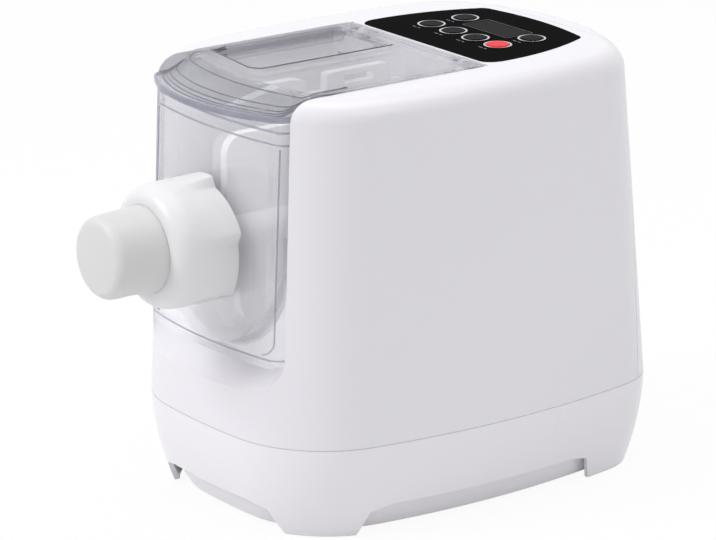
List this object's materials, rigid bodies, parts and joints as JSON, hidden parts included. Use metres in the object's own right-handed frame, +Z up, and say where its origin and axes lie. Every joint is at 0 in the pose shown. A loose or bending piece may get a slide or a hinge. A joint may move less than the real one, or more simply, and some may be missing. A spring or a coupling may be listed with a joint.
{
  "type": "electric pasta maker",
  "caption": "Countertop machine that kneads dough in a clear front bowl and pushes it through a die behind a ribbed nut; touch-button panel on top, motor and gears inside.",
  "frame": {"origin": "centre of the whole bounding box in plan, on the table the feet stand on", "axes": "+Z up, -Y towards the spout at the front, +X to the side with the start button"},
  "size_m": [0.2, 0.3508, 0.2496],
  "materials": {
    "housing_white": "glossy white moulded plastic",
    "nut_white": "white moulded plastic with a fine satin surface",
    "cap_white": "satin white plastic",
    "clear_plastic": "clear moulded plastic with a slight blue tint",
    "die_grey": "satin light grey plastic",
    "paddle_white": "satin white food-safe plastic",
    "panel_black": "glossy black panel",
    "display_dark": "dark display window",
    "button_dark": "glossy dark button",
    "button_red": "glossy red button",
    "ring_chrome": "bright plated ring",
    "rubber_grey": "matt rubber",
    "board_green": "circuit board",
    "component_dark": "dark moulded parts",
    "steel": "machined steel",
    "zinc": "zinc-plated sheet metal",
    "nylon": "moulded nylon",
    "seal_grey": "soft sealing rubber"
  },
  "bodies": {
    "housing": {"upper_housing": "housing_white", "rear_cover": "housing_white", "base_skirt": "housing_white", "base_pan": "housing_white", "base_screws": "steel", "foot_pads": "rubber_grey", "cord_gland": "component_dark", "control_panel": "panel_black", "display_window": "display_dark", "button_rings": "ring_chrome", "control_board": "board_green", "key_switches": "component_dark", "display_module": "component_dark", "board_pillars": "nylon", "power_board": "board_green", "board_components": "component_dark", "lid_switch": "component_dark", "gearbox_housing": "nylon", "gearbox_cover": "zinc", "idler_axles": "steel", "output_bearing": "steel", "motor": "zinc", "motor_cradle": "component_dark"},
    "bowl": {"mixing_bowl": "clear_plastic", "shaft_seal": "seal_grey", "pasta_die": "die_grey"},
    "lid": {"lid": "clear_plastic", "lid_pins": "steel"},
    "nut": {"die_nut": "nut_white"},
    "cap": {"spout_cap": "cap_white"},
    "mixer": {"mixing_paddle": "paddle_white", "auger_screw": "paddle_white"},
    "output": {"output_gear": "nylon", "drive_spindle": "steel"},
    "idler_front": {"idler_gear_front": "nylon"},
    "idler_rear": {"idler_gear_rear": "nylon"},
    "rotor": {"motor_pinion": "steel", "motor_shaft": "steel", "cooling_fan": "component_dark"},
    "button_front_left": {"button_front_left": "button_dark"},
    "button_front_mid_left": {"button_front_mid_left": "button_dark"},
    "button_front_mid_right": {"button_front_mid_right": "button_dark"},
    "button_start": {"button_start": "button_red"},
    "button_rear_left": {"button_rear_left": "button_dark"},
    "button_rear_right": {"button_rear_right": "button_dark"}
  },
  "joints": [
    {"name": "bowl_slide", "type": "slide", "parent": "housing", "child": "bowl", "axis": [0, -1, 0], "range_m": [0, 0.15]},
    {"name": "lid_hinge", "type": "hinge", "parent": "bowl", "child": "lid", "pos_m": [0, 0.0406, 0.2463], "axis": [-1, 0, 0], "range_deg": [0, 80]},
    {"name": "nut_turn", "type": "hinge", "parent": "bowl", "child": "nut", "pos_m": [0, -0.1226, 0.1615], "axis": [0, -1, 0], "range_deg": [0, 270]},
    {"name": "cap_pull", "type": "slide", "parent": "nut", "child": "cap", "axis": [0, -1, 0], "range_m": [0, 0.04]},
    {"name": "mixer_spin", "type": "hinge", "parent": "bowl", "child": "mixer", "pos_m": [0, -0.0276, 0.1615], "axis": [0, 1, 0], "continuous": true},
    {"name": "output_spin", "type": "hinge", "parent": "housing", "child": "output", "pos_m": [0, 0.0574, 0.1615], "axis": [0, 1, 0], "continuous": true},
    {"name": "idler_front_spin", "type": "hinge", "parent": "housing", "child": "idler_front", "pos_m": [0.02042, 0.0724, 0.12309], "axis": [0, 1, 0], "continuous": true},
    {"name": "idler_rear_spin", "type": "hinge", "parent": "housing", "child": "idler_rear", "pos_m": [-0.01247, 0.0824, 0.11112], "axis": [0, 1, 0], "continuous": true},
    {"name": "rotor_spin", "type": "hinge", "parent": "housing", "child": "rotor", "pos_m": [-0.01733, 0.1124, 0.08355], "axis": [0, 1, 0], "continuous": true},
    {"name": "button_front_left_press", "type": "slide", "parent": "housing", "child": "button_front_left", "axis": [0, 0, -1], "range_m": [0, 0.0012], "stiffness_N_per_m": 300, "springref_m": -0.001},
    {"name": "button_front_mid_left_press", "type": "slide", "parent": "housing", "child": "button_front_mid_left", "axis": [0, 0, -1], "range_m": [0, 0.0012], "stiffness_N_per_m": 300, "springref_m": -0.001},
    {"name": "button_front_mid_right_press", "type": "slide", "parent": "housing", "child": "button_front_mid_right", "axis": [0, 0, -1], "range_m": [0, 0.0012], "stiffness_N_per_m": 300, "springref_m": -0.001},
    {"name": "button_start_press", "type": "slide", "parent": "housing", "child": "button_start", "axis": [0, 0, -1], "range_m": [0, 0.0012], "stiffness_N_per_m": 300, "springref_m": -0.001},
    {"name": "button_rear_left_press", "type": "slide", "parent": "housing", "child": "button_rear_left", "axis": [0, 0, -1], "range_m": [0, 0.0012], "stiffness_N_per_m": 300, "springref_m": -0.001},
    {"name": "button_rear_right_press", "type": "slide", "parent": "housing", "child": "button_rear_right", "axis": [0, 0, -1], "range_m": [0, 0.0012], "stiffness_N_per_m": 300, "springref_m": -0.001}
  ],
  "couplings": [
    {"joint": "output_spin", "follows": "mixer_spin", "ratio": 1},
    {"joint": "idler_front_spin", "follows": "mixer_spin", "ratio": -3.1429},
    {"joint": "idler_rear_spin", "follows": "mixer_spin", "ratio": 9.4286},
    {"joint": "rotor_spin", "follows": "mixer_spin", "ratio": -28.286}
  ]
}
